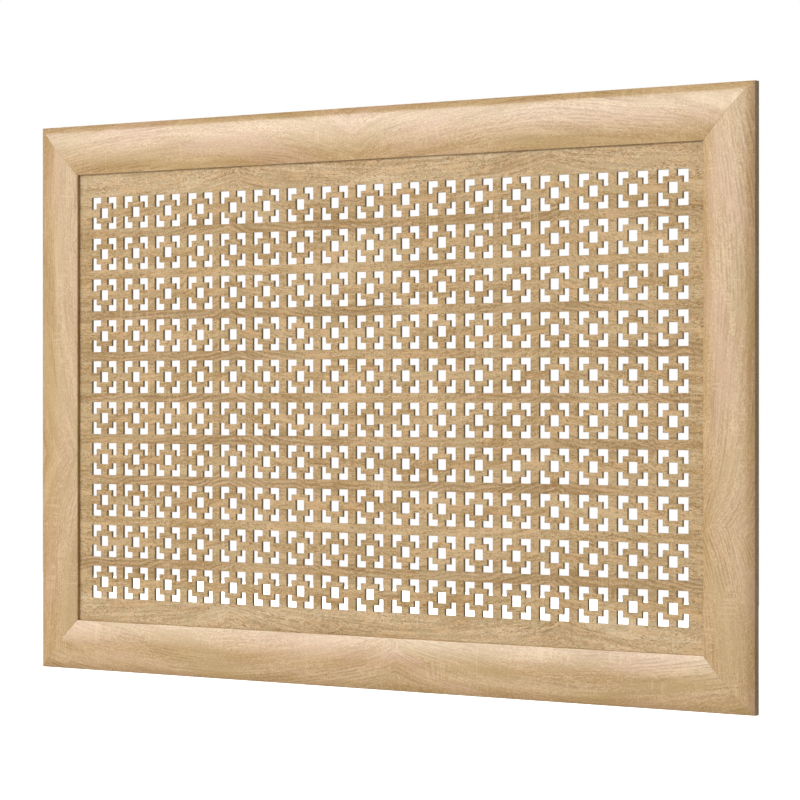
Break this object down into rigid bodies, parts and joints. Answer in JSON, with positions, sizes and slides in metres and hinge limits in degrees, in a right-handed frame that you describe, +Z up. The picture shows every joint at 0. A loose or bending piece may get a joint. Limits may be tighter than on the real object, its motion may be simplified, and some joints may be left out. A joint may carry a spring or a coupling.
{
  "type": "radiator screen",
  "caption": "Flat radiator screen: a low-crowned mitred frame in light oak finish round a thin panel cut with a traditional square fret, hung from keyholes in its back.",
  "frame": {"origin": "on the back plane, midway between the round entries of the two hanging keyholes", "axes": "+X along the screen to the viewer's right, +Y out of the back towards the wall, +Z up; the front faces -Y"},
  "size_m": [0.9, 0.014, 0.6],
  "materials": {
    "oak_foil_moulding": "fibreboard wrapped in satin light oak foil, grain along each member, bare brown board at the back",
    "oak_foil_panel": "thin hard fibreboard faced in satin light oak foil, grain along the screen, darker cut edges and bare back",
    "nail_steel": "plain bright steel strip",
    "zinc_plated_steel": "zinc plated pressed sheet",
    "screw_steel": "zinc plated"
  },
  "bodies": {
    "root": {"top_rail": "oak_foil_moulding", "right_stile": "oak_foil_moulding", "bottom_rail": "oak_foil_moulding", "left_stile": "oak_foil_moulding", "fretwork_panel": "oak_foil_panel", "v_nail_top_left_outer": "nail_steel", "v_nail_top_left_inner": "nail_steel", "v_nail_top_right_outer": "nail_steel", "v_nail_top_right_inner": "nail_steel", "v_nail_bottom_right_outer": "nail_steel", "v_nail_bottom_right_inner": "nail_steel", "v_nail_bottom_left_outer": "nail_steel", "v_nail_bottom_left_inner": "nail_steel", "keyhole_hanger_left": "zinc_plated_steel", "keyhole_hanger_right": "zinc_plated_steel", "hanger_screw_left_1": "screw_steel", "hanger_screw_left_2": "screw_steel", "hanger_screw_right_1": "screw_steel", "hanger_screw_right_2": "screw_steel"}
  },
  "joints": []
}
